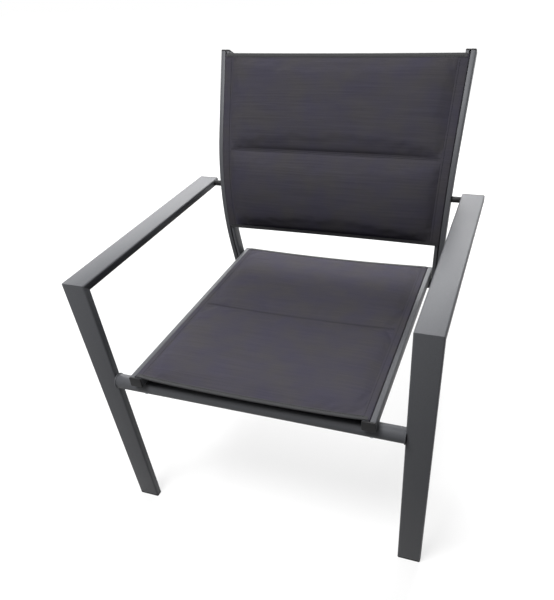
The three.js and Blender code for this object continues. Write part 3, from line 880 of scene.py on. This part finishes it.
def hem_section(edge):
    """The fold as (inset, height) points: from the pad over the rail, down, round the rod, and back below."""
    neck_angle = math.asin(neck_half / loop_radius)
    over_middle = (edge + groove_inset) / 2
    upper_centre = (groove_inset - neck_half + upper_turn, upper_height - upper_turn)
    lower_centre = (groove_inset + neck_half + lower_turn, lower_height - lower_turn)
    line = [(edge, upper_height), (over_middle, upper_height)]
    line += arc(upper_centre, upper_turn, math.pi / 2, math.pi, turn_steps)
    rod = (groove_inset, -bore_depth)
    line += arc(rod, loop_radius, math.pi / 2 + neck_angle, math.pi * 5 / 2 - neck_angle, loop_steps)
    line += arc(lower_centre, lower_turn, math.pi, math.pi / 2, turn_steps)
    return line + [(over_middle, lower_height), (edge, lower_height)]


def swept_cloth(name, section, stations, side, thickness):
    """A sheet with a section that is carried along stations, and given its thickness."""
    lengths = np.cumsum([0] + [math.dist(a, b) for a, b in zip(section, section[1:])])
    points, flat = [], []
    for station, place in stations:
        for spot, length in zip(section, lengths):
            point = place(*spot)
            points.append((point.x * side, point.y, point.z))
            flat.append((length, station))
    wide = len(section)
    corners = [r * wide + c for r in range(len(stations) - 1) for c in range(wide - 1)]
    piece = new_cloth(name, points, [(a, a + wide, a + wide + 1, a + 1) for a in corners], flat)
    select_only(piece)
    thick = piece.modifiers.new("thick", "SOLIDIFY")
    thick.thickness, thick.offset = thickness, 0
    bpy.ops.object.modifier_apply(modifier=thick.name)
    pick(piece, "faces", lambda face: True)
    bpy.ops.mesh.normals_make_consistent(inside=False)
    bpy.ops.object.mode_set(mode="OBJECT")
    bpy.ops.object.shade_smooth_by_angle(angle=crease_angle)
    return piece


def hem_place(panel, run, edge):
    """Puts a point of the section at a run of the rail. The hem is a little wavy, except near its ends."""
    from_end = min(run - panel.start, panel.end - run)
    wave = hem_wave * (1 + pucker(run)) / 2 * min(1, from_end / wave_reach)

    def put(inset, height):
        loose = max(0, (inset - groove_inset) / (edge - groove_inset)) if height > 0 else 0
        return panel.place(inset, run, height + loose * wave)

    return put


hems = {}
for kind, panel in panels.items():
    edge = panel.edge_inset + hem_overlap
    length = panel.end - panel.start
    count = round(length / hem_station)
    runs = [panel.start + length * i / count for i in range(count + 1)]
    stations = [(run, hem_place(panel, run, edge)) for run in runs]
    for side, sign in (("left", 1), ("right", -1)):
        hem = swept_cloth(f"{side}_{kind}_hem", hem_section(edge), stations, sign, sheet_thickness)
        finish_piece(hem, cloth_finish, "sling_fabric")
        hems[side, kind] = hem


# Binding tapes: black woven polyester, folded over each raw end of a sling and sewn through both layers.
# Beside the padding each tape runs on over the rails or posts, as far as the groove.
def binding_weave():
    """A tight rib across the tape, close to matt. The rib is 1 mm wide. Its colour follows the rib's height,
    with a painted highlight on each rib and painted shade between the ribs.
    """
    rib_width = 0.001
    material, tree = new_material("woven_polyester_tape")
    flat = add_node(tree, "UVMap", {}, uv_map="run").outputs["UV"]
    ribs = {"Vector": flat, "Scale": 2 * math.pi / rib_width / wave_radians}
    rib = add_node(tree, "TexWave", ribs, bands_direction="Y")
    # Painted light: lighter on each rib and darker between the ribs, following the rib's height.
    tones = {"Factor": rib.outputs["Fac"], "A": linear("#101012"), "B": linear("#1f1f23")}
    colour = add_node(tree, "Mix", tones, data_type="RGBA")
    bump = add_node(tree, "Bump", {"Height": rib.outputs["Fac"], "Strength": 0.5, "Distance": 0.0002})
    tape = {"Base Color": colour.outputs["Result"], "Roughness": 0.7, "IOR": 1.5, "Normal": bump.outputs[0]}
    shader = add_node(tree, "BsdfPrincipled", tape)
    add_node(tree, "OutputMaterial", {"Surface": shader.outputs[0]})
    return material


tape_finish = binding_weave()
tape_thickness = 0.0006
tape_clearance = 0.0001
tape_half = sewn_half + tape_thickness / 2 + tape_clearance
tape_station = 0.006
tape_bend_steps = 8


def tape_place(panel, x, end, inward, half_width):
    """Puts a point of the tape's section, by its distance in from the panel's end, at one place across.
    Beside the padding only the hem's two layers are inside the tape."""

    def put(depth, height):
        run = end + inward * depth
        if abs(x) > half_width:
            height = max(height, hem_gap + tape_thickness / 2 - pad_floor)
        spot = panel.place(0, run, pad_floor + height - hang(panel, x, run, half_width))
        return Vector((x, spot.y, spot.z))

    return put


tapes = {}
section = [(tape_width, tape_half), *arc((0, 0), tape_half, math.pi / 2, math.pi * 3 / 2, tape_bend_steps)]
section.append((tape_width, -tape_half))
end_names = {"seat": ("front", "rear"), "back": ("lower", "upper")}
for kind, panel in panels.items():
    for name, run, inward in zip(end_names[kind], (panel.start, panel.end), (1, -1)):
        half_width = panel.place(panel.edge_inset, run, pad_floor).x
        reach = panel.place(groove_inset + groove_mouth, run, pad_floor).x
        count = round(2 * reach / tape_station)
        crosswise = [reach * (2 * i / count - 1) for i in range(count + 1)]
        stations = [(x, tape_place(panel, x, run, inward, half_width)) for x in crosswise]
        tape = swept_cloth(f"{name}_{kind}_binding", section, stations, 1, tape_thickness)
        finish_piece(tape, tape_finish, "sling_fabric")
        tapes[name, kind] = tape


# Stitching: black bonded polyester thread, lockstitched by machine through all layers. Rows close the hems,
# hold the tapes, and quilt the seam across each panel with two rows side by side. At the seam the black
# thread and its second row are also painted shade, standing for the shade in the seam's crease.
def thread_and_seam_shade():
    """Twisted and waxed, black, with hardly any gloss. The 0.5 mm thread is drawn twice as thick. Its black,
    its thickness and its lack of gloss also make it painted shade along the seam's crease.
    """
    twist_size = 0.0008
    material, tree = new_material("polyester_thread_and_seam_shade")
    place = add_node(tree, "TexCoord", {}).outputs["Object"]
    twist = add_node(tree, "TexNoise", {"Vector": place, "Scale": 1 / twist_size, "Detail": 1.0})
    # Black thread. It is real, and at the seam it is also painted shade in the crease.
    tones = {"Factor": twist.outputs["Fac"], "A": linear("#0f0f11"), "B": linear("#1a1a1d")}
    colour = add_node(tree, "Mix", tones, data_type="RGBA")
    thread = {"Base Color": colour.outputs["Result"], "Roughness": 0.6, "IOR": 1.5, "Specular IOR Level": 0.1}
    shader = add_node(tree, "BsdfPrincipled", thread)
    add_node(tree, "OutputMaterial", {"Surface": shader.outputs[0]})
    return material


thread_and_seam_shade_finish = thread_and_seam_shade()
stitch_pitch = 0.0042
stitch_length = 0.0032
thread_radius = 0.0005
stitch_sides, stitch_rings = 6, 5
probe_height = 0.03
hem_row_inset = 0.0035
tape_row_inset = 0.0042
seam_row_offset = 0.0014

bpy.ops.object.select_all(action="DESELECT")
bpy.ops.mesh.primitive_uv_sphere_add(
    segments=stitch_sides, ring_count=stitch_rings, radius=1, rotation=(0, math.pi / 2, 0)
)
stitch = take_up("stitch")
stitch.data.transform(Matrix.Diagonal((stitch_length / 2, thread_radius, thread_radius, 1)))
stitch_points = [vert.co.copy() for vert in stitch.data.vertices]
stitch_faces = [tuple(face.vertices) for face in stitch.data.polygons]
bpy.data.objects.remove(stitch)


def sew(name, cloth, panel, route, length):
    """Lays a row of stitches on a piece of cloth. The route gives (x, run) at a distance along the row."""
    shape = cloth.data
    spots = [vert.co for vert in shape.vertices]
    surface = BVHTree.FromPolygons(spots, [face.vertices for face in shape.polygons])

    def on_cloth(distance):
        x, run = route(distance)
        above, below = panel.place(0, run, probe_height), panel.place(0, run, -probe_height)
        above.x = below.x = x
        return surface.ray_cast(above, (below - above).normalized())[0]

    points, faces = [], []
    for i in range(int(length / stitch_pitch)):
        first, last = on_cloth(i * stitch_pitch), on_cloth(i * stitch_pitch + stitch_length)
        if first is None or last is None:
            continue
        turn = (last - first).to_track_quat("X", "Z").to_matrix().to_4x4()
        lay = Matrix.Translation((first + last) / 2) @ turn
        faces += [tuple(len(points) + corner for corner in face) for face in stitch_faces]
        points += [lay @ point for point in stitch_points]
    row = new_cloth(name, points, faces, [(0, 0)] * len(points))
    row.data.shade_smooth()
    finish_piece(row, thread_and_seam_shade_finish, "sling_fabric")


def down_rail(panel, inset, sign, start):
    """The route of a row that follows a rail."""
    return lambda distance: (sign * panel.place(inset, start + distance, 0).x, start + distance)


def over_panel(half_row, run):
    """The route of a row straight across."""
    return lambda distance: (distance - half_row, run)


for kind, panel in panels.items():
    for side, sign in (("left", 1), ("right", -1)):
        route = down_rail(panel, panel.edge_inset - hem_row_inset, sign, panel.start + tape_width)
        length = panel.end - panel.start - 2 * tape_width
        sew(f"{side}_{kind}_hem_stitches", hems[side, kind], panel, route, length)
    first_end, last_end = end_names[kind]
    beside_hem = panel.edge_inset + hem_overlap
    beside_groove = groove_inset + tape_width
    # The two seam rows of black thread also stand for the shade in the seam's crease: painted shade.
    rows = {
        "lower_seam": (panel.seam - seam_row_offset, pads[kind], beside_hem),
        "upper_seam": (panel.seam + seam_row_offset, pads[kind], beside_hem),
        first_end: (panel.start + tape_row_inset, tapes[first_end, kind], beside_groove),
        last_end: (panel.end - tape_row_inset, tapes[last_end, kind], beside_groove),
    }
    for name, (run, cloth, row_inset) in rows.items():
        half_row = panel.place(row_inset, run, 0).x
        sew(f"{name}_{kind}_stitches", cloth, panel, over_panel(half_row, run), 2 * half_row)
